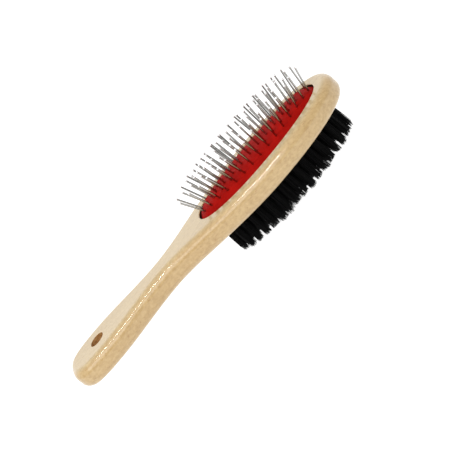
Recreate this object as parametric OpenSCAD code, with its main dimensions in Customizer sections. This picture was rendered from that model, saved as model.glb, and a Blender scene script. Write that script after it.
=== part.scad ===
// Double-sided pet grooming brush: one-piece wooden body, steel pins on a red
// rubber air cushion on one face, tufts of black bristle on the other.
// X runs from the handle end to the toe, Z from the bristle tips to the pins.
// The origin is on the plane of the bristle tips, below the middle of the length.

/* [Body] */
// overall length of the wooden body
body_length = 225; // [180:1:260]
// thickness of the wood between its two flat faces
body_thickness = 14; // [12:0.5:20]
// width of the oval head at its widest point
head_width = 62; // [50:1:80]
// distance from the handle end to the widest point of the head
head_station = 163; // [140:1:190]
// width of the neck at its narrowest point
neck_width = 22.8; // [18:0.2:30]
// distance from the handle end to the narrowest point of the neck
neck_station = 78; // [65:1:95]
// width of the shoulder, between neck and head
shoulder_width = 42.4; // [34:0.2:52]
// distance from the handle end to the shoulder
shoulder_station = 115; // [105:1:125]
// half-width gained per millimetre of length at the shoulder
shoulder_slope = 0.33; // [0.2:0.01:0.5]
// width of the handle at its bulge
handle_width = 35.8; // [28:0.2:44]
// distance from the handle end to the bulge of the handle
handle_station = 27; // [22:1:36]
// bluntness of the toe, 2 is an ellipse
toe_power = 2.25; // [2:0.05:3]
// bluntness of the handle end, 2 is an ellipse
end_power = 3; // [2:0.05:3.4]
// radius of the rounded edge between the faces and the side
edge_radius = 5.5; // [3:0.1:6]

/* [Hang hole] */
// diameter of the hole for hanging the brush up
hang_hole_diameter = 10; // [8:0.5:12]
// distance from the handle end to the centre of the hang hole
hang_hole_station = 24.6; // [20:0.2:30]

/* [Cushion] */
// length of the oval opening for the cushion
opening_length = 98.6; // [90:0.2:104]
// width of the oval opening for the cushion
opening_width = 43.6; // [38:0.2:46]
// distance from the handle end to the middle of the opening
opening_station = 165.1; // [160:0.1:170]
// bluntness of the opening's ends, 2 is an ellipse
opening_power = 2.15; // [2:0.05:2.6]
// depth of the recess under the cushion
recess_depth = 6; // [5.6:0.1:6.4]
// how far the undercut groove reaches outward beyond the opening
groove_reach = 1.5; // [1.2:0.1:1.6]
// height of the cushion's crown above the wood
crown_height = 3.2; // [2:0.1:6]
// how far the cushion's rim sits below the wood
rim_drop = 1.8; // [0.4:0.1:2]
// thickness of the rubber
rubber_thickness = 1.5; // [1:0.1:1.8]
// play between the cushion's rim and the wood
rim_play = 0.3; // [0.2:0.05:0.5]

/* [Pins] */
// diameter of the pin wire
wire_diameter = 1; // [0.8:0.05:1.3]
// diameter of the rounded tip
tip_diameter = 1.5; // [1.2:0.05:2]
// length of a pin above the rubber
pin_reach = 16.5; // [12:0.5:20]
// diameter of the flat head under the rubber
pin_head_diameter = 2.6; // [2:0.1:3]
// length of the outermost oval ring of pins
pin_field_length = 91.2; // [80:0.2:92]
// width of the outermost oval ring of pins
pin_field_width = 30.4; // [28:0.2:32]
// distance between neighbouring rings of pins
pin_ring_pitch = 5.2; // [5:0.05:5.4]
// distance between the pins of the middle row
pin_row_pitch = 7; // [6:0.1:8]
// lean of the pins nearest the toe, in degrees
pin_lean_toe = 16; // [5:1:24]
// steady part of the lean of the pins nearest the handle, in degrees
pin_lean_heel = 13; // [5:1:20]
// further lean of the last few pins nearest the handle, in degrees
pin_lean_last = 12; // [0:1:16]
// lean of the pins nearest the long sides, in degrees
pin_lean_side = 20; // [5:1:24]

/* [Bristles] */
// length of the bristles below the wood
bristle_reach = 19.5; // [12:0.5:25]
// diameter of the drilled holes for the tufts
tuft_hole_diameter = 3.6; // [3:0.1:4]
// depth of the drilled holes for the tufts
tuft_hole_depth = 6; // [5:0.1:6.5]
// diameter of a tuft at its trimmed tip
tuft_tip_diameter = 5.2; // [4:0.1:5.3]
// length of the outermost oval ring of tufts
tuft_field_length = 90.8; // [85:0.2:93]
// width of the outermost oval ring of tufts
tuft_field_width = 36; // [34:0.2:40]
// distance between neighbouring rings of tufts
tuft_ring_pitch = 6; // [5.8:0.05:6.3]
// distance between the tufts of the middle row
tuft_row_pitch = 6.4; // [5.6:0.1:7]
// outward lean of the tufts nearest the long sides, in degrees
tuft_lean_side = 3; // [0:0.5:5]
// outward lean of the tufts nearest the ends, in degrees
tuft_lean_end = 1; // [0:0.5:4]
// thickness of the flat wire that anchors a tuft
anchor_thickness = 0.4; // [0.3:0.05:0.6]
// height of the flat wire that anchors a tuft
anchor_height = 1.6; // [1.2:0.1:2]

/* [Hidden] */
pin_banks = 14;
tuft_banks = 15;
pin_bank_width = 7;
tuft_bank_width = 6.5;
// number of pins or tufts and starting phase of each ring, from the outermost inward
pin_rings = [[30, 0.5], [24, 0], [20, 0.5]];
tuft_rings = [[34, 0.5], [26, 0], [18, 0]];
pins_in_row = 9;
tufts_in_row = 6;
field_shift = 0.6;
pin_nodes = numbered("pin_bank", pin_banks);
tuft_nodes = numbered("tuft_bank", tuft_banks);
anchor_nodes = numbered("anchor_bank", tuft_banks);

wood_bottom = bristle_reach;
wood_top = wood_bottom + body_thickness;
handle_end = -body_length / 2;
opening_x = handle_end + opening_station;
dome_rise = crown_height + rim_drop;
pad_rim_z = wood_top - rim_drop;
bead_top = wood_top - 3.2;
bead_height = 1.2;
pad_half_length = opening_length / 2 - rim_play;
pad_half_width = opening_width / 2 - rim_play;
wire_play = 0.06;
head_gap = 0.35;
pin_head_height = 0.5;
tuft_play = 0.05;
groove_play = 0.15;
anchor_from_top = 0.9;
planed_off = 0.06;
edge_steps = 5;
toe_steps = 16;
side_steps = 38;
end_steps = 12;
oval_steps = 72;
pad_rings = 7;

// names of repeated nodes, with two-digit numbers
function numbered(name, count) = [for (i = [1:count]) str(name, i < 10 ? "_0" : "_", i)];

// half-width between two stations, by a cubic that meets both slopes
function blend_width(x, xa, wa, sa, xb, wb, sb) =
    let (h = xb - xa, t = (x - xa) / h)
    wa * (2 * t^3 - 3 * t^2 + 1) + wb * (3 * t^2 - 2 * t^3)
    + h * sa * (t^3 - 2 * t^2 + t) + h * sb * (t^3 - t^2);

// half-width of the body at a distance from the handle end, handle bulge to head
function half_width(x) =
    x < neck_station
    ? blend_width(x, handle_station, handle_width / 2, 0, neck_station, neck_width / 2, 0)
    : x < shoulder_station
    ? blend_width(x, neck_station, neck_width / 2, 0,
                  shoulder_station, shoulder_width / 2, shoulder_slope)
    : blend_width(x, shoulder_station, shoulder_width / 2, shoulder_slope,
                  head_station, head_width / 2, 0);

// one long side of the body's outline, from the toe to the handle end
function long_side() = concat(
    [for (i = [0:toe_steps])
        let (t = 90 * i / toe_steps)
        [head_station + (body_length - head_station) * pow(cos(t), 2 / toe_power),
         head_width / 2 * pow(sin(t), 2 / toe_power)]],
    [for (i = [1:side_steps - 1])
        let (x = head_station + (handle_station - head_station) * i / side_steps)
        [x, half_width(x)]],
    [for (i = [end_steps:-1:0])
        let (t = 90 * i / end_steps)
        [handle_station * (1 - pow(cos(t), 2 / end_power)),
         handle_width / 2 * pow(sin(t), 2 / end_power)]]);

// the whole outline, anticlockwise from the toe
function outline() =
    let (side = long_side(), n = len(side))
    concat(side, [for (i = [n - 2:-1:1]) [side[i][0], -side[i][1]]]);

// unit vector that points out of a closed outline at point i
function outward(pts, i) =
    let (n = len(pts),
         d = pts[(i + 1) % n] - pts[(i + n - 1) % n],
         l = norm(d))
    [d[1] / l, -d[0] / l];

// a point of an oval at angle t
function oval_point(t, a, b, power) =
    [a * sign(cos(t)) * pow(abs(cos(t)), 2 / power),
     b * sign(sin(t)) * pow(abs(sin(t)), 2 / power)];

// height of the rubber's top face at a point measured from the opening's middle:
// nearly flat along the middle, with rounded shoulders down to the rim
function dome_z(p) =
    let (u = min(abs(p[0]) / pad_half_length, 1),
         edge = pad_half_width * pow(1 - pow(u, opening_power), 1 / opening_power),
         v = min(abs(p[1]) / max(edge, 0.01), 1))
    pad_rim_z + dome_rise * (1 - pow(u, 8)) * (1 - pow(v, 3.4));

// evenly spaced points along an ellipse; phase 0 puts one on its toe end
function ring_spots(length, width, count, phase) =
    let (step = 2,
         pts = [for (t = [0:step:360]) [length / 2 * cos(t), width / 2 * sin(t)]],
         run = [for (i = 0, s = 0; i < len(pts);
                     i = i + 1, s = i < len(pts) ? s + norm(pts[i] - pts[i - 1]) : s)
                [s, i * step]],
         whole = run[len(pts) - 1][0])
    [for (k = [0:count - 1])
        let (t = lookup((k + phase) / count * whole, run))
        [field_shift + length / 2 * cos(t), width / 2 * sin(t)]];

// a field of concentric rings around one middle row, measured from the opening's middle
function field_spots(length, width, rings, ring_pitch, in_row, row_pitch) = concat(
    [for (r = [0:len(rings) - 1])
        each ring_spots(length - 2 * r * ring_pitch, width - 2 * r * ring_pitch,
                        rings[r][0], rings[r][1])],
    [for (i = [0:in_row - 1]) [field_shift + (i - (in_row - 1) / 2) * row_pitch, 0]]);

all_pins = field_spots(pin_field_length, pin_field_width, pin_rings, pin_ring_pitch,
                       pins_in_row, pin_row_pitch);
all_tufts = field_spots(tuft_field_length, tuft_field_width, tuft_rings, tuft_ring_pitch,
                        tufts_in_row, tuft_row_pitch);

// the spots that fall in one bank, a slice across the head
function bank_spots(spots, bank, banks, width) =
    [for (p = spots) if (floor(p[0] / width + banks / 2) == bank - 1) p];

function pin_spots(bank) = bank_spots(all_pins, bank, pin_banks, pin_bank_width);

function tuft_spots(bank) = bank_spots(all_tufts, bank, tuft_banks, tuft_bank_width);

// lean of a pin along the brush: it grows toward the toe and, faster, the handle
function pin_lean(x) =
    let (u = x / (pin_field_length / 2))
    u > 0 ? pin_lean_toe * u : pin_lean_heel * u - pin_lean_last * pow(u, 12);

// how far out a ring of the cushion's mesh lies, closer together toward the rim
function ring_share(k) = 1 - pow(1 - k / pad_rings, 1.5);

module oval(grow) {
    polygon([for (i = [0:oval_steps - 1])
        oval_point(360 * i / oval_steps, opening_length / 2 + grow,
                   opening_width / 2 + grow, opening_power)]);
}

module place_pin(p) {
    translate([opening_x + p[0], p[1], dome_z(p)])
        rotate([-pin_lean_side * p[1] / (pin_field_width / 2), pin_lean(p[0]), 0])
            children();
}

module place_tuft(p) {
    translate([opening_x + p[0], p[1], wood_bottom])
        rotate([tuft_lean_side * p[1] / (tuft_field_width / 2),
                -tuft_lean_end * p[0] / (tuft_field_length / 2), 0])
            children();
}

// the rounded shell stands slightly proud, and the slab planes its two faces flat
module body_blank() {
    pts = outline();
    n = len(pts);
    low = wood_bottom - planed_off + edge_radius;
    high = wood_top + planed_off - edge_radius;
    rings = concat(
        [for (k = [0:edge_steps]) [90 * k / edge_steps - 90, low]],
        [for (k = [0:edge_steps]) [90 * k / edge_steps, high]]);
    m = len(rings);
    shell = [for (ring = rings) for (i = [0:n - 1])
        let (p = pts[i] - edge_radius * (1 - cos(ring[0])) * outward(pts, i))
        [handle_end + p[0], p[1], ring[1] + edge_radius * sin(ring[0])]];
    walls = [for (k = [0:m - 2]) for (i = [0:n - 1]) for (half = [0, 1])
        let (j = (i + 1) % n)
        half == 0 ? [k * n + i, (k + 1) * n + j, k * n + j]
                  : [k * n + i, (k + 1) * n + i, (k + 1) * n + j]];
    caps = [[for (i = [0:n - 1]) i], [for (i = [n - 1:-1:0]) (m - 1) * n + i]];
    intersection() {
        polyhedron(shell, concat(walls, caps));
        translate([handle_end - 1, -head_width / 2 - 1, wood_bottom])
            cube([body_length + 2, head_width + 2, body_thickness]);
    }
}

module body_with_openings() {
    difference() {
        body_blank();
        translate([handle_end + hang_hole_station, 0, wood_bottom - 1])
            cylinder(h = body_thickness + 2, d = hang_hole_diameter, $fn = 64);
        translate([opening_x, 0, wood_top - recess_depth])
            linear_extrude(recess_depth + 1)
                oval(0);
        translate([opening_x, 0, bead_top - bead_height - groove_play])
            linear_extrude(bead_height + 2 * groove_play)
                oval(groove_reach);
    }
}

module wood_body() {
    color("BurlyWood")
        difference() {
            body_with_openings();
            for (bank = [1:tuft_banks])
                for (p = tuft_spots(bank))
                    place_tuft(p)
                        translate([0, 0, -1])
                            cylinder(h = tuft_hole_depth + 1, d = tuft_hole_diameter, $fn = 24);
        }
}

module pad_blank() {
    n = oval_steps;
    top = [for (k = [1:pad_rings]) for (i = [0:n - 1])
        let (p = oval_point(360 * i / n, pad_half_length, pad_half_width, opening_power)
                 * ring_share(k))
        [p[0], p[1], dome_z(p)]];
    under = [for (k = [1:pad_rings]) for (i = [0:n - 1])
        let (p = oval_point(360 * i / n, pad_half_length - rubber_thickness,
                            pad_half_width - rubber_thickness, opening_power) * ring_share(k))
        [p[0], p[1], dome_z(p) - rubber_thickness]];
    edge = [for (step = [[-rubber_thickness, bead_top - bead_height],
                         [groove_reach, bead_top - bead_height],
                         [groove_reach, bead_top],
                         [0, bead_top]])
        for (i = [0:n - 1])
            let (p = oval_point(360 * i / n, pad_half_length + step[0],
                                pad_half_width + step[0], opening_power))
            [p[0], p[1], step[1]]];
    // the rings of the skin in order: under face outward, down the skirt, over the top
    loop = concat(under, edge, [for (k = [pad_rings - 1:-1:0]) for (i = [0:n - 1])
        top[k * n + i]]);
    m = 2 * pad_rings + 4;
    walls = [for (k = [0:m - 2]) for (i = [0:n - 1]) for (half = [0, 1])
        let (j = (i + 1) % n)
        half == 0 ? [k * n + i, (k + 1) * n + j, k * n + j]
                  : [k * n + i, (k + 1) * n + i, (k + 1) * n + j]];
    hubs = [[0, 0, pad_rim_z + dome_rise - rubber_thickness], [0, 0, pad_rim_z + dome_rise]];
    fans = [for (i = [0:n - 1]) for (end = [0, 1])
        let (j = (i + 1) % n)
        end == 0 ? [m * n, i, j] : [m * n + 1, (m - 1) * n + j, (m - 1) * n + i]];
    translate([opening_x, 0, 0])
        polyhedron(concat(loop, hubs), concat(walls, fans));
}

module cushion_pad() {
    color("FireBrick")
        difference() {
            pad_blank();
            for (bank = [1:pin_banks])
                for (p = pin_spots(bank))
                    place_pin(p)
                        translate([0, 0, -4])
                            cylinder(h = 6, d = wire_diameter + 2 * wire_play, $fn = 16);
        }
}

module pin() {
    shank_bottom = -rubber_thickness - head_gap;
    rotate_extrude($fn = 24)
        polygon(concat(
            [[0, shank_bottom - pin_head_height],
             [pin_head_diameter / 2, shank_bottom - pin_head_height],
             [pin_head_diameter / 2, shank_bottom],
             [wire_diameter / 2, shank_bottom]],
            [for (t = [-42:22:90])
                [tip_diameter / 2 * cos(t) * (t < 90 ? 1 : 0),
                 pin_reach - tip_diameter / 2 + tip_diameter / 2 * sin(t)]]));
}

module pin_bank(bank) {
    color("Gray")
        for (p = pin_spots(bank))
            place_pin(p)
                pin();
}

module anchor(grow) {
    translate([-anchor_thickness / 2 - grow, -tuft_hole_diameter / 2 - 0.2,
               tuft_hole_depth - anchor_from_top - anchor_height - grow])
        cube([anchor_thickness + 2 * grow, tuft_hole_diameter + 0.4,
              anchor_height + 2 * grow]);
}

module tuft() {
    root = tuft_hole_diameter / 2 - tuft_play;
    difference() {
        rotate_extrude($fn = 24)
            polygon([[0, -bristle_reach - 1], [tuft_tip_diameter / 2, -bristle_reach - 1],
                     [root, -1], [root, tuft_hole_depth - tuft_play],
                     [0, tuft_hole_depth - tuft_play]]);
        anchor(0);
    }
}

module tuft_bank(bank) {
    color("DimGray")
        for (p = tuft_spots(bank))
            difference() {
                place_tuft(p)
                    tuft();
                translate([opening_x + p[0] - 10, p[1] - 10, -5])
                    cube([20, 20, 5]);
            }
}

module anchor_bank(bank) {
    color("Silver")
        for (p = tuft_spots(bank))
            place_tuft(p)
                anchor(0);
}

wood_body();
cushion_pad();
for (bank = [1:pin_banks])
    pin_bank(bank);
for (bank = [1:tuft_banks])
    tuft_bank(bank);
for (bank = [1:tuft_banks])
    anchor_bank(bank);
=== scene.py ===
"""Looks of the double-sided pet grooming brush: varnished beech body, red rubber
air cushion with steel pins, black filament tufts, on a plain pale floor."""

import math
import random

import bpy
import numpy as np
from mathutils import Matrix, Vector


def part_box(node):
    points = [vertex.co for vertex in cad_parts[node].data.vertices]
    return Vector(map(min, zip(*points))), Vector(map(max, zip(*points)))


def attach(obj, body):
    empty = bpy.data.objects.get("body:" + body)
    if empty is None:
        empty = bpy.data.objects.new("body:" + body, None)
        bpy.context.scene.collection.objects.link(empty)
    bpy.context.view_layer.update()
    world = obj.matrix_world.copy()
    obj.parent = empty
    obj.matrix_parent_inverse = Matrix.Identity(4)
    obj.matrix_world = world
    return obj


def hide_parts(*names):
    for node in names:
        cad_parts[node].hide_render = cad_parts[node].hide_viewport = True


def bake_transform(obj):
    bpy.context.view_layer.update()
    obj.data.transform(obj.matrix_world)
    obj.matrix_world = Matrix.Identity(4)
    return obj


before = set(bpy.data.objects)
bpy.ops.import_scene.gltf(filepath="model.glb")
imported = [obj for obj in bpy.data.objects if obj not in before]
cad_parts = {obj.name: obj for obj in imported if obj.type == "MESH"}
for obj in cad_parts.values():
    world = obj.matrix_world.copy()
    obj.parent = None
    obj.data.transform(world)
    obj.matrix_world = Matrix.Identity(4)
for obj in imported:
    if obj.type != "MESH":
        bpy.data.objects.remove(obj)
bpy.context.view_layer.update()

MM = 0.001

# ---------------------------------------------------------------- sizes, in metres
WOOD_LOW, WOOD_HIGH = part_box("wood_body")
PAD_LOW, PAD_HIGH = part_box("cushion_pad")
LENGTH = WOOD_HIGH.x - WOOD_LOW.x
HEAD_HALF = WOOD_HIGH.y
WOOD_BOTTOM = WOOD_LOW.z
WOOD_TOP = WOOD_HIGH.z
HANDLE_END = WOOD_LOW.x
HEAD_STATION = 163 * MM
NECK_STATION = 78 * MM
NECK_HALF = 11.4 * MM
SHOULDER_STATION = 115 * MM
SHOULDER_HALF = 21.2 * MM
SHOULDER_SLOPE = 0.33
HANDLE_STATION = 27 * MM
HANDLE_HALF = 17.9 * MM
TOE_POWER = 2.25
END_POWER = 3.0
EDGE_RADIUS = 5.5 * MM

HOLE_X = HANDLE_END + 24.6 * MM
HOLE_RADIUS = 5 * MM
HOLE_SOFT = 0.15 * MM

OPENING_X = (PAD_LOW.x + PAD_HIGH.x) / 2
OPENING_A = 49.3 * MM
OPENING_B = 21.8 * MM
OPENING_POWER = 2.15
RECESS_DEPTH = 6 * MM
RECESS_SOFT = 0.5 * MM
GROOVE_REACH = 1.5 * MM
GROOVE_PLAY = 0.15 * MM
BEAD_TOP = WOOD_TOP - 3.2 * MM
BEAD_HEIGHT = 1.2 * MM
BEAD_SOFT = 0.3 * MM
RIM_PLAY = 0.3 * MM
RIM_DROP = 1.8 * MM
RIM_SOFT = 0.5 * MM
DOME_RISE = 5 * MM
DOME_END_POWER = 8
DOME_SIDE_POWER = 3.4
RUBBER = 1.5 * MM
COLLAR_RADIUS = 1.3 * MM
COLLAR_WIDTH = 0.5 * MM
COLLAR_HEIGHT = 0.12 * MM
DIMPLE_WIDTH = 0.75 * MM
DIMPLE_DEPTH = 0.5 * MM

PIN_BANKS = 14
PIN_BANK_WIDTH = 7 * MM
PIN_FIELD = (91.2 * MM, 30.4 * MM)
PIN_RINGS = ((30, 0.5), (24, 0), (20, 0.5))
PIN_RING_PITCH = 5.2 * MM
PIN_ROW = (9, 7 * MM)
PIN_LEAN_TOE = 16
PIN_LEAN_HEEL = 13
PIN_LEAN_LAST = 12
PIN_LEAN_LAST_POWER = 12
PIN_LEAN_SIDE = 20
PIN_REACH = 16.5 * MM
WIRE_RADIUS = 0.55 * MM
TIP_RADIUS = 0.75 * MM
PIN_HEAD_GAP = 0.35 * MM
# how unevenly the pins stand: degrees along and across the brush, millimetres of length
PIN_UNEVEN_ALONG = 3.5
PIN_UNEVEN_ACROSS = 2.5
PIN_UNEVEN_LENGTH = (-0.1, 0.45)

TUFT_BANKS = 15
TUFT_BANK_WIDTH = 6.5 * MM
TUFT_FIELD = (90.8 * MM, 36 * MM)
TUFT_RINGS = ((34, 0.5), (26, 0), (18, 0))
TUFT_RING_PITCH = 6 * MM
TUFT_ROW = (6, 6.4 * MM)
TUFT_LEAN_SIDE = 3
TUFT_LEAN_END = 1
TUFT_HOLE_RADIUS = 1.8 * MM
TUFT_HOLE_DEPTH = 6 * MM
TUFT_TIP_RADIUS = 2.6 * MM
TUFT_SPLAY = (1.04, 1.24)
# share of the field's half-length where the tufts are slimmer, and how much
SLIM_FROM, SLIM_TO = 0.6, 0.95
SLIMMING = 0.78
TUFT_SLOPE = 0.3
BRISTLE_REACH = WOOD_BOTTOM
FILAMENTS = 80
FILAMENT_RADIUS = 0.16 * MM
FILAMENT_SIDES = 4
FILAMENT_ROWS = 6
# depth, as a share of the drilled hole, where the filaments begin
FILAMENT_START = 0.4
# a filament's last ring, as a share of its radius
FILAMENT_TAPER = 0.62
# how the filaments leave the straight line, in millimetres
FILAMENT_BOW = (0.2, 0.55)
FILAMENT_SWAY = 0.25
BOW_SHARE = 0.3
# below 1, the filaments spread soon after the mouth and then run straighter
SPREAD_POWER = 0.6
GOLDEN_ANGLE = 2.39996
ANGLE_SCATTER = 0.3
TIP_SCATTER = 0.3 * MM
# by how many millimetres tufts, and then single filaments, stay short of the full reach
TRIM_MARGIN = 0.35
TRIM_UNEVEN = 0.5
MEAN_SHORTFALL = 0.5
# limits on a filament's length: metres off the full reach, and a share of it
LONGEST_MARGIN = 0.1 * MM
SHORTEST_SHARE = 0.8

FIELD_SHIFT = 0.6 * MM

# material slots of the wooden body, in the order that build_wood() adds them; the third is a
# painted shade for the recess
VARNISHED, BARE, SHADED_WALL = 0, 1, 2
# material slots of a pin; the tip slot carries a painted highlight
WIRE, TIP = 0, 1

# ---------------------------------------------------------------- camera
CAMERA_AZIMUTH = 3.971
CAMERA_ELEVATION = 19.5
CAMERA_ROLL = -51.156
CAMERA_DISTANCE = 0.9076
CAMERA_LENS = 127.4
CAMERA_SENSOR = 36
AIM_RIGHT = 11.45 * MM
AIM_UP = 2.535 * MM


# ---------------------------------------------------------------- shape formulas
def hermite(x, xa, wa, sa, xb, wb, sb):
    """Cubic between two stations that meets both widths and both slopes."""
    h = xb - xa
    t = (x - xa) / h
    return (wa * (2 * t**3 - 3 * t**2 + 1) + wb * (3 * t**2 - 2 * t**3)
            + h * sa * (t**3 - 2 * t**2 + t) + h * sb * (t**3 - t**2))


def half_width(x):
    """Half-width of the body between the handle's bulge and the head."""
    if x < NECK_STATION:
        return hermite(x, HANDLE_STATION, HANDLE_HALF, 0, NECK_STATION, NECK_HALF, 0)
    if x < SHOULDER_STATION:
        return hermite(x, NECK_STATION, NECK_HALF, 0,
                       SHOULDER_STATION, SHOULDER_HALF, SHOULDER_SLOPE)
    return hermite(x, SHOULDER_STATION, SHOULDER_HALF, SHOULDER_SLOPE,
                   HEAD_STATION, HEAD_HALF, 0)


def body_outline(toe_steps=64, side_steps=130, end_steps=44):
    """The body's outline, anticlockwise from the toe."""
    side = []
    for i in range(toe_steps + 1):
        t = math.pi / 2 * i / toe_steps
        along = max(math.cos(t), 0) ** (2 / TOE_POWER)
        side.append((HEAD_STATION + (LENGTH - HEAD_STATION) * along,
                     HEAD_HALF * math.sin(t) ** (2 / TOE_POWER)))
    for i in range(1, side_steps):
        x = HEAD_STATION + (HANDLE_STATION - HEAD_STATION) * i / side_steps
        side.append((x, half_width(x)))
    for i in range(end_steps, -1, -1):
        t = math.pi / 2 * i / end_steps
        side.append((HANDLE_STATION * (1 - max(math.cos(t), 0) ** (2 / END_POWER)),
                     HANDLE_HALF * math.sin(t) ** (2 / END_POWER)))
    other = [(x, -y) for x, y in side[-2:0:-1]]
    pts = np.array(side + other)
    pts[:, 0] += HANDLE_END
    return pts


def outward_normals(pts):
    """Unit vectors that point out of a closed anticlockwise outline."""
    d = np.roll(pts, -1, axis=0) - np.roll(pts, 1, axis=0)
    d /= np.linalg.norm(d, axis=1)[:, None]
    return np.stack([d[:, 1], -d[:, 0]], axis=1)


def oval(a, b, n, power=OPENING_POWER):
    """Points of an oval around the origin, anticlockwise."""
    t = np.linspace(0, 2 * np.pi, n, endpoint=False)
    c, s = np.cos(t), np.sin(t)
    return np.stack([a * np.sign(c) * np.abs(c) ** (2 / power),
                     b * np.sign(s) * np.abs(s) ** (2 / power)], axis=1)


def oval_ratio(x, y, a, b, power):
    """0 in the middle of an oval, 1 on its edge."""
    return (np.abs(x / a) ** power + np.abs(y / b) ** power) ** (1 / power)


def dome_height(x, y):
    """Height of the rubber's top face at a place measured from the opening's middle."""
    u = np.minimum(np.abs(x) / (OPENING_A - RIM_PLAY), 1)
    edge = (OPENING_B - RIM_PLAY) * (1 - u**OPENING_POWER) ** (1 / OPENING_POWER)
    v = np.minimum(np.abs(y) / np.maximum(edge, 0.01 * MM), 1)
    return WOOD_TOP - RIM_DROP + DOME_RISE * (1 - u**DOME_END_POWER) * (1 - v**DOME_SIDE_POWER)


def ring_spots(length, width, count, phase):
    """Evenly spaced places along an ellipse; phase 0 puts one on its toe end."""
    t = np.radians(np.arange(0, 361, 2))
    x, y = length / 2 * np.cos(t), width / 2 * np.sin(t)
    run = np.concatenate([[0], np.cumsum(np.hypot(np.diff(x), np.diff(y)))])
    at = np.interp((np.arange(count) + phase) / count * run[-1], run, t)
    return [(FIELD_SHIFT + length / 2 * math.cos(a), width / 2 * math.sin(a)) for a in at]


def field_spots(field, rings, ring_pitch, row):
    """Concentric rings of places around one middle row, from the opening's middle."""
    places = []
    for r, (count, phase) in enumerate(rings):
        less = 2 * r * ring_pitch
        places += ring_spots(field[0] - less, field[1] - less, count, phase)
    count, pitch = row
    return places + [(FIELD_SHIFT + (i - (count - 1) / 2) * pitch, 0.0) for i in range(count)]


ALL_PINS = field_spots(PIN_FIELD, PIN_RINGS, PIN_RING_PITCH, PIN_ROW)
ALL_TUFTS = field_spots(TUFT_FIELD, TUFT_RINGS, TUFT_RING_PITCH, TUFT_ROW)


def bank_spots(places, bank, banks, width):
    """The places that fall in one bank, a slice across the head."""
    return [p for p in places if math.floor(p[0] / width + banks / 2) == bank - 1]


def pin_spots(bank):
    return bank_spots(ALL_PINS, bank, PIN_BANKS, PIN_BANK_WIDTH)


def tuft_spots(bank):
    return bank_spots(ALL_TUFTS, bank, TUFT_BANKS, TUFT_BANK_WIDTH)


def pin_place(x, y):
    """Matrix whose origin is a pin's foot on the rubber and whose Z runs up the pin."""
    u = x / (PIN_FIELD[0] / 2)
    if u > 0:
        lean_x = PIN_LEAN_TOE * u
    else:
        lean_x = PIN_LEAN_HEEL * u - PIN_LEAN_LAST * u**PIN_LEAN_LAST_POWER
    lean_y = -PIN_LEAN_SIDE * y / (PIN_FIELD[1] / 2)
    return (Matrix.Translation((OPENING_X + x, y, float(dome_height(x, y))))
            @ Matrix.Rotation(math.radians(lean_x), 4, "Y")
            @ Matrix.Rotation(math.radians(lean_y), 4, "X"))


def tuft_place(x, y):
    """Matrix whose origin is a tuft's mouth in the wood and whose Z runs into the wood."""
    lean_x = -TUFT_LEAN_END * x / (TUFT_FIELD[0] / 2)
    lean_y = TUFT_LEAN_SIDE * y / (TUFT_FIELD[1] / 2)
    return (Matrix.Translation((OPENING_X + x, y, WOOD_BOTTOM))
            @ Matrix.Rotation(math.radians(lean_x), 4, "Y")
            @ Matrix.Rotation(math.radians(lean_y), 4, "X"))


# ---------------------------------------------------------------- mesh helpers
def new_object(name, verts, faces, material=None, smooth=True):
    mesh = bpy.data.meshes.new(name)
    mesh.from_pydata([tuple(v) for v in verts], [], faces)
    mesh.validate()
    obj = bpy.data.objects.new(name, mesh)
    bpy.context.scene.collection.objects.link(obj)
    if material:
        mesh.materials.append(material)
    for poly in mesh.polygons:
        poly.use_smooth = smooth
    return obj


def loft(rings, cap_first=True, cap_last=True):
    """Vertices and faces of a tube through rings of equally many points."""
    n = len(rings[0])
    verts = np.concatenate([np.asarray(r) for r in rings])
    faces = []
    for k in range(len(rings) - 1):
        for i in range(n):
            j = (i + 1) % n
            faces.append((k * n + i, k * n + j, (k + 1) * n + j, (k + 1) * n + i))
    if cap_first:
        faces.append(tuple(range(n - 1, -1, -1)))
    if cap_last:
        faces.append(tuple((len(rings) - 1) * n + i for i in range(n)))
    return verts, faces


def ring_at(points, z):
    return np.column_stack([points, np.full(len(points), z)])


def cut(target, cutters):
    """Cuts every cutter out of target and drops the cutters."""
    bpy.ops.object.select_all(action="DESELECT")
    for c in cutters:
        c.select_set(True)
    bpy.context.view_layer.objects.active = cutters[0]
    bpy.ops.object.join()
    tool = bpy.context.view_layer.objects.active
    mod = target.modifiers.new("cut", "BOOLEAN")
    mod.operation = "DIFFERENCE"
    mod.solver = "MANIFOLD"
    mod.object = tool
    graph = bpy.context.evaluated_depsgraph_get()
    result = bpy.data.meshes.new_from_object(target.evaluated_get(graph))
    target.modifiers.clear()
    old = target.data
    target.data = result
    result.name = old.name
    bpy.data.meshes.remove(old)
    bpy.data.objects.remove(tool)


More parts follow.
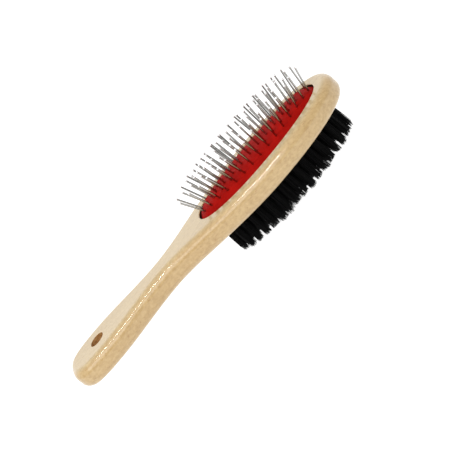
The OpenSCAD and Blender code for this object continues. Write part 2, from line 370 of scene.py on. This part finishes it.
# ---------------------------------------------------------------- materials
class Nodes:
    """A short way to write a material's nodes."""

    def __init__(self, name):
        self.material = bpy.data.materials.new(name)
        self.material.use_nodes = True
        self.tree = self.material.node_tree
        self.tree.nodes.clear()
        self.shader = self.add("ShaderNodeBsdfPrincipled")
        out = self.add("ShaderNodeOutputMaterial")
        self.link(self.shader.outputs[0], out.inputs["Surface"])
        self.position = self.add("ShaderNodeTexCoord").outputs["Object"]

    def add(self, kind, **values):
        node = self.tree.nodes.new(kind)
        for key, value in values.items():
            setattr(node, key, value)
        return node

    def link(self, a, b):
        self.tree.links.new(a, b)

    def stretched(self, scale):
        node = self.add("ShaderNodeMapping")
        node.inputs["Scale"].default_value = scale
        self.link(self.position, node.inputs["Vector"])
        return node.outputs[0]

    def noise(self, vector, scale, detail=4, roughness=0.55, distortion=0.0):
        node = self.add("ShaderNodeTexNoise")
        node.inputs["Scale"].default_value = scale
        node.inputs["Detail"].default_value = detail
        node.inputs["Roughness"].default_value = roughness
        node.inputs["Distortion"].default_value = distortion
        self.link(vector, node.inputs["Vector"])
        return node.outputs["Fac"]

    def ramp(self, value, *stops):
        node = self.add("ShaderNodeValToRGB")
        elements = node.color_ramp.elements
        while len(elements) < len(stops):
            elements.new(0.5)
        for element, (place, colour) in zip(elements, stops):
            element.position = place
            element.color = (*colour, 1)
        self.link(value, node.inputs[0])
        return node.outputs[0]

    def mix(self, factor, a, b, blend="MIX"):
        node = self.add("ShaderNodeMix", data_type="RGBA", blend_type=blend)
        for value, socket in ((factor, node.inputs[0]), (a, node.inputs[6]), (b, node.inputs[7])):
            if isinstance(value, bpy.types.NodeSocket):
                self.link(value, socket)
            elif isinstance(value, tuple):
                socket.default_value = (*value, 1)
            else:
                socket.default_value = value
        return node.outputs[2]

    def maths(self, operation, *values):
        node = self.add("ShaderNodeMath", operation=operation)
        for value, socket in zip(values, node.inputs):
            if isinstance(value, bpy.types.NodeSocket):
                self.link(value, socket)
            else:
                socket.default_value = value
        return node.outputs[0]

    def bump(self, height, strength, distance):
        node = self.add("ShaderNodeBump")
        node.inputs["Strength"].default_value = strength
        node.inputs["Distance"].default_value = distance
        self.link(height, node.inputs["Height"])
        self.link(node.outputs[0], self.shader.inputs["Normal"])

    def set(self, **values):
        for key, value in values.items():
            socket = self.shader.inputs[key.replace("_", " ")]
            if isinstance(value, bpy.types.NodeSocket):
                self.link(value, socket)
            elif isinstance(value, tuple):
                socket.default_value = (*value, 1)
            else:
                socket.default_value = value


def grey(value):
    return (value, value, value)


def varnished_beech():
    n = Nodes("varnished_beech")
    cloud = n.noise(n.stretched((0.5, 1, 1)), 28, detail=2, roughness=0.5)
    mottle = n.noise(n.stretched((0.7, 1, 1)), 600, detail=4, roughness=0.6)
    grain = n.noise(n.stretched((0.1, 1, 1)), 900, detail=4, roughness=0.6, distortion=0.3)
    flecks = n.noise(n.stretched((0.35, 1, 1)), 1150, detail=2, roughness=0.5)
    tone = n.ramp(mottle, (0.3, (0.45, 0.3, 0.128)), (0.5, (0.515, 0.357, 0.163)),
                  (0.7, (0.57, 0.41, 0.2)))
    warm = n.ramp(cloud, (0.35, (0.97, 0.94, 0.9)), (0.65, (1.04, 1.05, 1.08)))
    base = n.mix(1.0, tone, warm, "MULTIPLY")
    streaks = n.ramp(grain, (0.3, (0.88, 0.83, 0.76)), (0.5, grey(1)), (0.75, (1.05, 1.04, 1.03)))
    base = n.mix(0.6, base, streaks, "MULTIPLY")
    pores = n.ramp(flecks, (0.24, (0.6, 0.38, 0.26)), (0.34, grey(1)))
    base = n.mix(0.6, base, pores, "MULTIPLY")
    # painted light: the flat faces get a cooler, greyer tone than the sides, standing in for a
    # cooler light from above
    split = n.add("ShaderNodeSeparateXYZ")
    n.link(n.add("ShaderNodeTexCoord").outputs["Normal"], split.inputs[0])
    facing = n.maths("ABSOLUTE", split.outputs[2])
    base = n.mix(1.0, base, n.ramp(facing, (0.75, grey(1)), (0.97, (0.93, 0.985, 1.02))),
                 "MULTIPLY")
    n.set(Base_Color=base, Roughness=n.ramp(mottle, (0.3, grey(0.36)), (0.7, grey(0.48))),
          Coat_Weight=0.8, Coat_Roughness=0.06, Coat_IOR=1.5, Specular_IOR_Level=0.4)
    n.bump(cloud, 0.12, 0.001)
    return n.material


def bare_wood():
    n = Nodes("bare_wood")
    fibres = n.noise(n.stretched((0.25, 1, 1)), 900, detail=5, roughness=0.65)
    n.set(Base_Color=n.ramp(fibres, (0.3, (0.24, 0.095, 0.025)), (0.5, (0.4, 0.2, 0.065)),
                            (0.72, (0.58, 0.36, 0.15))),
          Roughness=0.7, Specular_IOR_Level=0.3)
    n.bump(fibres, 0.3, 0.0003)
    return n.material


# painted shade: near-black wood in the recess, standing in for the shadow in the gap between the
# rubber and the wood
def painted_shade_recess():
    n = Nodes("painted_shade_recess")
    fibres = n.noise(n.stretched((0.25, 1, 1)), 900, detail=4, roughness=0.65)
    n.set(Base_Color=n.ramp(fibres, (0.3, (0.02, 0.007, 0.004)), (0.7, (0.045, 0.018, 0.01))),
          Roughness=0.9, Specular_IOR_Level=0.1)
    return n.material


def red_rubber():
    n = Nodes("red_rubber")
    cloud = n.noise(n.position, 120, detail=3, roughness=0.5)
    grit = n.noise(n.position, 2600, detail=2, roughness=0.5)
    n.set(Base_Color=n.ramp(cloud, (0.3, (0.27, 0.003, 0.0015)), (0.7, (0.38, 0.005, 0.0025))),
          Roughness=n.ramp(grit, (0.3, grey(0.5)), (0.7, grey(0.65))),
          Specular_IOR_Level=0.03)
    n.bump(grit, 0.12, 0.0002)
    return n.material


def drawn_steel():
    n = Nodes("drawn_steel")
    lines = n.noise(n.stretched((1, 1, 0.06)), 2500, detail=3, roughness=0.6)
    n.set(Base_Color=n.ramp(lines, (0.3, (0.33, 0.325, 0.31)), (0.7, (0.5, 0.49, 0.47))),
          Metallic=1.0, Roughness=n.ramp(lines, (0.3, grey(0.12)), (0.7, grey(0.22))))
    return n.material


# painted highlight: the ball tips get a near-white, half-metal finish that stands in for the glint
# and white reflection they catch
def painted_glint_tip():
    n = Nodes("painted_glint_tip")
    haze = n.noise(n.position, 3000, detail=2)
    n.set(Base_Color=n.ramp(haze, (0.3, grey(0.78)), (0.7, grey(0.88))),
          Metallic=0.3, Roughness=0.25)
    return n.material


def black_filament():
    n = Nodes("black_filament")
    cloud = n.noise(n.position, 260, detail=2)
    n.set(Base_Color=n.ramp(cloud, (0.3, grey(0.0018)), (0.7, (0.0042, 0.0042, 0.0045))),
          Roughness=n.ramp(cloud, (0.3, grey(0.4)), (0.7, grey(0.55))),
          Specular_IOR_Level=0.07)
    return n.material


def anchor_steel():
    n = Nodes("anchor_steel")
    lines = n.noise(n.stretched((1, 0.1, 1)), 2500, detail=3)
    n.set(Base_Color=n.ramp(lines, (0.3, grey(0.45)), (0.7, grey(0.6))), Metallic=1.0,
          Roughness=0.4)
    return n.material


def pale_floor():
    n = Nodes("pale_floor")
    cloud = n.noise(n.position, 3, detail=2)
    n.set(Base_Color=n.ramp(cloud, (0.3, grey(0.28)), (0.7, grey(0.3))), Roughness=0.9,
          Specular_IOR_Level=0.0, Emission_Color=(1.0, 1.0, 1.0), Emission_Strength=0.96)
    return n.material


# ---------------------------------------------------------------- wooden body
def rounded_blank(material, edge_steps=16):
    """The body before any cut: its outline, with rounded edges to both flat faces."""
    pts = body_outline()
    out = outward_normals(pts)
    rings = []
    for low_half in (True, False):
        for k in range(edge_steps + 1):
            a = math.pi / 2 * (k / edge_steps - 1 if low_half else k / edge_steps)
            centre = WOOD_BOTTOM + EDGE_RADIUS if low_half else WOOD_TOP - EDGE_RADIUS
            inset = pts - EDGE_RADIUS * (1 - math.cos(a)) * out
            rings.append(ring_at(inset, centre + EDGE_RADIUS * math.sin(a)))
    verts, faces = loft(rings)
    return new_object("wooden_body", verts, faces, material)


def mouth_profile(wall, floor_z, top_z, soft):
    """(growth, height) steps of a cutter whose mouth at top_z is softly rounded."""
    steps = [(wall, floor_z), (wall, top_z - soft)]
    for k in range(1, 6):
        a = math.radians(15 * k)
        steps.append((wall + soft * (1 - math.cos(a)), top_z - soft + soft * math.sin(a)))
    clear = 0.4 * MM
    steps.append((steps[-1][0] + clear, top_z + clear))
    return steps


def recess_cutter():
    rings = []
    for grow, z in mouth_profile(0, WOOD_TOP - RECESS_DEPTH, WOOD_TOP, RECESS_SOFT):
        rings.append(ring_at(oval(OPENING_A + grow, OPENING_B + grow, 256), z))
    verts, faces = loft(rings)
    obj = new_object("recess_cutter", verts, faces)
    obj.location.x = OPENING_X
    return obj


def groove_cutter():
    rings = [ring_at(oval(OPENING_A + GROOVE_REACH, OPENING_B + GROOVE_REACH, 256), z)
             for z in (BEAD_TOP - BEAD_HEIGHT - GROOVE_PLAY, BEAD_TOP + GROOVE_PLAY)]
    verts, faces = loft(rings)
    obj = new_object("groove_cutter", verts, faces)
    obj.location.x = OPENING_X
    return obj


def hang_hole_cutter():
    """A through hole with both mouths softened."""
    middle = (WOOD_TOP + WOOD_BOTTOM) / 2
    top = mouth_profile(HOLE_RADIUS, middle, WOOD_TOP, HOLE_SOFT)
    bottom = [(r, 2 * middle - z) for r, z in reversed(top[1:])]
    rings = [ring_at(oval(r, r, 96, 2), z) for r, z in bottom + top[1:]]
    verts, faces = loft(rings)
    obj = new_object("hang_hole_cutter", verts, faces)
    obj.location.x = HOLE_X
    return obj


def tuft_hole_cutters():
    """The drilled holes, each with a slightly crushed mouth."""
    profile = [(TUFT_HOLE_RADIUS + 0.45 * MM, -0.45 * MM),
               (TUFT_HOLE_RADIUS + 0.1 * MM, 0.05 * MM),
               (TUFT_HOLE_RADIUS, 0.3 * MM), (TUFT_HOLE_RADIUS, TUFT_HOLE_DEPTH)]
    rings = [ring_at(oval(r, r, 28, 2), z) for r, z in profile]
    verts, faces = loft(rings)
    cutters = []
    for bank in range(1, TUFT_BANKS + 1):
        for x, y in tuft_spots(bank):
            obj = new_object("tuft_hole_cutter", verts, faces)
            obj.matrix_world = tuft_place(x, y)
            cutters.append(obj)
    return cutters


def surface_kind(centre):
    """Material slot of a face: varnished outside, bare in drilled holes, a near-black painted
    shade in the recess.
    The small margins allow for the rounded mouths and for rounding of the cuts."""
    if math.hypot(centre.x - HOLE_X, centre.y) < HOLE_RADIUS + 0.05 * MM:
        return BARE
    inside = oval_ratio(centre.x - OPENING_X, centre.y, OPENING_A + 2 * MM, OPENING_B + 2 * MM,
                        OPENING_POWER) < 1
    if not inside or centre.z < WOOD_BOTTOM + 0.2 * MM or centre.z > WOOD_TOP - 0.5 * MM:
        return VARNISHED
    # inside the opening: painted shade in the recess, bare wood in the tuft holes below it
    return SHADED_WALL if centre.z > WOOD_TOP - RECESS_DEPTH - 0.1 * MM else BARE


def build_wood():
    body = rounded_blank(MATERIALS["beech"])
    cut(body, [recess_cutter(), hang_hole_cutter(), *tuft_hole_cutters()])
    cut(body, [groove_cutter()])
    mesh = body.data
    mesh.materials.clear()
    for key in ("beech", "bare", "recess"):
        mesh.materials.append(MATERIALS[key])
    for poly in mesh.polygons:
        poly.use_smooth = True
        poly.material_index = surface_kind(poly.center)
    mesh.set_sharp_from_angle(angle=math.radians(32))
    sharpen_flat_faces(mesh)
    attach(body, "body")
    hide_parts("wood_body")
    return body


def sharpen_flat_faces(mesh):
    """Marks the edges of the two flat faces sharp, so that their shading stays flat."""
    sharp = (mesh.attributes.get("sharp_edge")
             or mesh.attributes.new("sharp_edge", "BOOLEAN", "EDGE"))
    flags = np.zeros(len(mesh.edges), bool)
    sharp.data.foreach_get("value", flags)
    edge_of = {tuple(sorted(e.vertices)): e.index for e in mesh.edges}
    for poly in mesh.polygons:
        if abs(poly.normal.z) > 0.9999:
            for key in poly.edge_keys:
                flags[edge_of[tuple(sorted(key))]] = True
    sharp.data.foreach_set("value", flags)


# ---------------------------------------------------------------- rubber cushion
def build_pad():
    """A closed domed skin with a skirt and a bead; each pin stands in a small dimple
    inside a low collar."""
    a, b = OPENING_A - RIM_PLAY, OPENING_B - RIM_PLAY
    pins = np.array(ALL_PINS)

    def top_z(x, y):
        z = dome_height(x, y)
        d = np.sqrt((x[:, None] - pins[:, 0]) ** 2 + (y[:, None] - pins[:, 1]) ** 2)
        collar = np.exp(-((d - COLLAR_RADIUS) / COLLAR_WIDTH) ** 2).max(axis=1) * COLLAR_HEIGHT
        dimple = np.exp(-(d / DIMPLE_WIDTH) ** 2).max(axis=1) * DIMPLE_DEPTH
        return z + collar - dimple

    n, under_rings, top_rings = 320, 24, 110
    rings = []
    # the under face, from near the middle outward, with closer rings near the skirt
    for k in range(1, under_rings + 1):
        p = oval(a - RUBBER, b - RUBBER, n) * (1 - (1 - k / under_rings) ** 1.5)
        rings.append(np.column_stack([p, dome_height(p[:, 0], p[:, 1]) - RUBBER]))
    # the skirt's foot and the bead
    bead_low = BEAD_TOP - BEAD_HEIGHT
    for grow, z in ((-RUBBER, bead_low), (GROOVE_REACH - BEAD_SOFT, bead_low),
                    (GROOVE_REACH, bead_low + BEAD_SOFT), (GROOVE_REACH, BEAD_TOP - BEAD_SOFT),
                    (GROOVE_REACH - BEAD_SOFT, BEAD_TOP), (0.15 * MM, BEAD_TOP)):
        rings.append(ring_at(oval(a + grow, b + grow, n), z))
    # the rounded rim, then the top face inward
    rim_z = WOOD_TOP - RIM_DROP
    for k in range(6):
        t = math.radians(90 * k / 5)
        grow = -RIM_SOFT * (1 - math.cos(t))
        z = rim_z - RIM_SOFT + RIM_SOFT * math.sin(t)
        rings.append(ring_at(oval(a + grow, b + grow, n), z))
    scale_to = 1 - RIM_SOFT / b
    for k in range(top_rings, 0, -1):
        p = oval(a, b, n) * scale_to * k / (top_rings + 1)
        rings.append(np.column_stack([p, top_z(p[:, 0], p[:, 1])]))
    verts, faces = loft(rings, False, False)
    m = len(rings)
    top_middle = float(top_z(np.zeros(1), np.zeros(1))[0])
    under_middle = WOOD_TOP - RIM_DROP + DOME_RISE - RUBBER
    verts = np.vstack([verts, [[0, 0, under_middle], [0, 0, top_middle]]])
    for i in range(n):
        j = (i + 1) % n
        faces.append((m * n, j, i))
        faces.append((m * n + 1, (m - 1) * n + i, (m - 1) * n + j))
    verts[:, 0] += OPENING_X
    pad = new_object("rubber_cushion", verts, faces, MATERIALS["rubber"])
    pad.data.set_sharp_from_angle(angle=math.radians(50))
    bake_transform(pad)
    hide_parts("cushion_pad")
    return pad


# ---------------------------------------------------------------- pins
def pin_profile():
    """(radius, height) steps of a pin, from its flat head up to its rounded tip."""
    head = -RUBBER - PIN_HEAD_GAP
    steps = [(0.9 * MM, head - 0.5 * MM), (1.3 * MM, head - 0.4 * MM), (1.3 * MM, head - 0.1 * MM),
             (1.1 * MM, head), (WIRE_RADIUS, head)]
    neck = PIN_REACH - TIP_RADIUS * (1 + math.cos(math.asin(WIRE_RADIUS / TIP_RADIUS)))
    for k in range(1, 5):
        steps.append((WIRE_RADIUS, head + (neck - head) * k / 4))
    start = math.acos(WIRE_RADIUS / TIP_RADIUS)
    for k in range(1, 9):
        t = -start + (math.pi / 2 + start) * k / 9
        steps.append((TIP_RADIUS * math.cos(t), PIN_REACH - TIP_RADIUS + TIP_RADIUS * math.sin(t)))
    return steps


def build_pins():
    rng = random.Random(11)
    profile = pin_profile()
    sides = 14
    # the profile's steps before this one are the head and the wire
    first_tip_ring = 9
    circle = oval(1, 1, sides, 2)
    for bank in range(1, PIN_BANKS + 1):
        verts, faces, tips = [], [], []
        for x, y in pin_spots(bank):
            along = math.radians(rng.uniform(-PIN_UNEVEN_ALONG, PIN_UNEVEN_ALONG))
            across = math.radians(rng.uniform(-PIN_UNEVEN_ACROSS, PIN_UNEVEN_ACROSS))
            longer = rng.uniform(*PIN_UNEVEN_LENGTH) * MM
            place = (pin_place(x, y) @ Matrix.Rotation(along, 4, "Y")
                     @ Matrix.Rotation(across, 4, "X") @ Matrix.Translation((0, 0, longer)))
            start = len(verts)
            for r, z in profile:
                for c, s in circle:
                    verts.append(place @ Vector((r * c, r * s, z)))
            tip = len(verts)
            verts.append(place @ Vector((0, 0, PIN_REACH)))
            faces.append(tuple(start + i for i in range(sides - 1, -1, -1)))
            tips.append(False)
            for k in range(len(profile) - 1):
                for i in range(sides):
                    j = (i + 1) % sides
                    q = start + k * sides
                    faces.append((q + i, q + j, q + sides + j, q + sides + i))
                    tips.append(k >= first_tip_ring)
            last = start + (len(profile) - 1) * sides
            for i in range(sides):
                faces.append((last + i, last + (i + 1) % sides, tip))
                tips.append(True)
        pins = new_object(f"pins_{bank:02d}", verts, faces, MATERIALS["steel"])
        pins.data.materials.append(MATERIALS["tip"])
        for poly, on_tip in zip(pins.data.polygons, tips):
            poly.material_index = TIP if on_tip else WIRE
        pins.data.set_sharp_from_angle(angle=math.radians(30))
        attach(pins, f"pin_bank_{bank:02d}_pins")
        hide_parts(f"pin_bank_{bank:02d}")


# ---------------------------------------------------------------- bristles
def filament(rng, place, root, tip, length):
    """One filament as a thin four-sided tapering strand that bows outward."""
    bow = rng.uniform(*FILAMENT_BOW) * MM
    turn = rng.uniform(0, math.pi)
    out = Vector((tip[0] - root[0], tip[1] - root[1], 0))
    sway = Vector((rng.uniform(-1, 1), rng.uniform(-1, 1), 0)) * FILAMENT_SWAY * MM
    depth = TUFT_HOLE_DEPTH * FILAMENT_START
    verts = []
    for k in range(FILAMENT_ROWS):
        t = k / (FILAMENT_ROWS - 1)
        spread = t**SPREAD_POWER
        centre = Vector((root[0], root[1], 0)) + out * spread + sway * math.sin(math.pi * t)
        centre += out.normalized() * bow * math.sin(math.pi * t) * BOW_SHARE
        centre.z = depth - (depth + length) * t
        r = FILAMENT_RADIUS * (1 if k < FILAMENT_ROWS - 1 else FILAMENT_TAPER)
        for side in range(FILAMENT_SIDES):
            a = turn + 2 * math.pi / FILAMENT_SIDES * side
            verts.append(place @ (centre + Vector((r * math.cos(a), r * math.sin(a), 0))))
    return verts


def build_bristles():
    rng = random.Random(5)
    sides, rows = FILAMENT_SIDES, FILAMENT_ROWS
    root_spread = TUFT_HOLE_RADIUS - FILAMENT_RADIUS
    for bank in range(1, TUFT_BANKS + 1):
        verts, faces = [], []
        for x, y in tuft_spots(bank):
            place = tuft_place(x, y)
            tuft_reach = BRISTLE_REACH - TRIM_MARGIN * MM - rng.uniform(0, TRIM_UNEVEN) * MM
            slope_x = rng.uniform(-TUFT_SLOPE, TUFT_SLOPE)
            slope_y = rng.uniform(-TUFT_SLOPE, TUFT_SLOPE)
            squeeze = rng.uniform(*TUFT_SPLAY)
            # the tufts next to both ends stay slimmer, with gaps between them
            if SLIM_FROM < abs(x) / (TUFT_FIELD[0] / 2) < SLIM_TO:
                squeeze *= SLIMMING
            tip_spread = (TUFT_TIP_RADIUS - FILAMENT_RADIUS) * squeeze
            for i in range(FILAMENTS):
                # a sunflower spread fills the round tuft evenly
                r = math.sqrt((i + 0.5) / FILAMENTS)
                a = i * GOLDEN_ANGLE + rng.uniform(-ANGLE_SCATTER, ANGLE_SCATTER)
                c, s = math.cos(a), math.sin(a)
                root = (root_spread * r * c, root_spread * r * s)
                tip = (tip_spread * r * c + rng.uniform(-1, 1) * TIP_SCATTER,
                       tip_spread * r * s + rng.uniform(-1, 1) * TIP_SCATTER)
                length = (tuft_reach - rng.expovariate(1 / MEAN_SHORTFALL) * MM
                          + slope_x * tip[0] + slope_y * tip[1])
                length = min(length, BRISTLE_REACH - LONGEST_MARGIN)
                length = max(length, SHORTEST_SHARE * BRISTLE_REACH)
                start = len(verts)
                verts.extend(filament(rng, place, root, tip, length))
                for k in range(rows - 1):
                    for j in range(sides):
                        m = (j + 1) % sides
                        q = start + k * sides
                        faces.append((q + j, q + sides + j, q + sides + m, q + m))
                faces.append(tuple(start + j for j in range(sides)))
                end = start + (rows - 1) * sides
                faces.append(tuple(end + j for j in range(sides - 1, -1, -1)))
        # the tufts are trimmed level with the plane they rest on
        for v in verts:
            v.z = max(v.z, 0.0)
        tufts = new_object(f"bristles_{bank:02d}", verts, faces, MATERIALS["filament"])
        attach(tufts, "body")
        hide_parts(f"tuft_bank_{bank:02d}")


def dress_anchors():
    for name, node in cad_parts.items():
        if name.startswith("anchor_bank"):
            node.data.materials.clear()
            node.data.materials.append(MATERIALS["anchor"])


# ---------------------------------------------------------------- stage, light, camera
def build_stage():
    half = 6
    corners = [(-half, -half, 0), (half, -half, 0), (half, half, 0), (-half, half, 0)]
    floor = new_object("floor", corners, [(0, 1, 2, 3)], MATERIALS["floor"])
    # the room is bright behind the brush and dimmer in front of it
    world = bpy.data.worlds.new("studio")
    bpy.context.scene.world = world
    world.use_nodes = True
    nodes, links = world.node_tree.nodes, world.node_tree.links
    direction = nodes.new("ShaderNodeSeparateXYZ")
    links.new(nodes.new("ShaderNodeTexCoord").outputs["Generated"], direction.inputs[0])
    shade = nodes.new("ShaderNodeMapRange")
    links.new(direction.outputs["Y"], shade.inputs["Value"])
    for socket, value in (("From Min", -0.3), ("From Max", 0.9),
                          ("To Min", 0.34), ("To Max", 1.3)):
        shade.inputs[socket].default_value = value
    links.new(shade.outputs[0], nodes["Background"].inputs["Strength"])
    nodes["Background"].inputs["Color"].default_value = (1, 1, 1, 1)


def soft_light(name, place, aim, size, power):
    data = bpy.data.lights.new(name, "AREA")
    data.shape = "RECTANGLE"
    data.size, data.size_y = size
    data.energy = power
    light = bpy.data.objects.new(name, data)
    bpy.context.scene.collection.objects.link(light)
    light.location = place
    light.rotation_euler = (Vector(aim) - Vector(place)).to_track_quat("-Z", "Y").to_euler()
    return light


def build_lights():
    middle = (0, 0, WOOD_TOP)
    soft_light("overhead", (-0.2, 0.0, 1.1), middle, (1.2, 1.2), 0.5)
    soft_light("front", (-0.35, -0.85, 0.85), middle, (1.2, 0.6), 6.8)
    soft_light("strip", (-0.1, -0.35, 0.97), middle, (0.5, 0.03), 4)


def build_camera():
    """A long lens at the photograph's angle; the brush runs corner to corner."""
    azimuth, elevation, roll = (math.radians(v) for v in (CAMERA_AZIMUTH, CAMERA_ELEVATION,
                                                          CAMERA_ROLL))
    back = Vector((math.sin(azimuth) * math.cos(elevation),
                   -math.cos(azimuth) * math.cos(elevation), math.sin(elevation)))
    level = Vector((math.cos(azimuth), math.sin(azimuth), 0))
    upright = back.cross(level)
    right = math.cos(roll) * level + math.sin(roll) * upright
    up = math.cos(roll) * upright - math.sin(roll) * level
    middle = Vector((0, 0, (WOOD_TOP + WOOD_BOTTOM) / 2))
    place = middle + back * CAMERA_DISTANCE
    aim = middle + right * AIM_RIGHT + up * AIM_UP
    forward = (aim - place).normalized()
    z_axis = -forward
    x_axis = up.cross(z_axis).normalized()
    y_axis = z_axis.cross(x_axis)
    data = bpy.data.cameras.new("camera")
    data.lens = CAMERA_LENS
    data.sensor_width = CAMERA_SENSOR
    data.clip_start = 0.01
    camera = bpy.data.objects.new("camera", data)
    bpy.context.scene.collection.objects.link(camera)
    turn = Matrix((x_axis, y_axis, z_axis)).transposed().to_4x4()
    camera.matrix_world = Matrix.Translation(place) @ turn
    bpy.context.scene.camera = camera


MATERIALS = {
    "beech": varnished_beech(), "bare": bare_wood(), "recess": painted_shade_recess(),
    "rubber": red_rubber(),
    "steel": drawn_steel(), "tip": painted_glint_tip(), "filament": black_filament(),
    "anchor": anchor_steel(), "floor": pale_floor(),
}

build_camera()
build_stage()
build_lights()
build_wood()
build_pad()
build_pins()
build_bristles()
dress_anchors()
bpy.context.scene.view_settings.view_transform = "Standard"
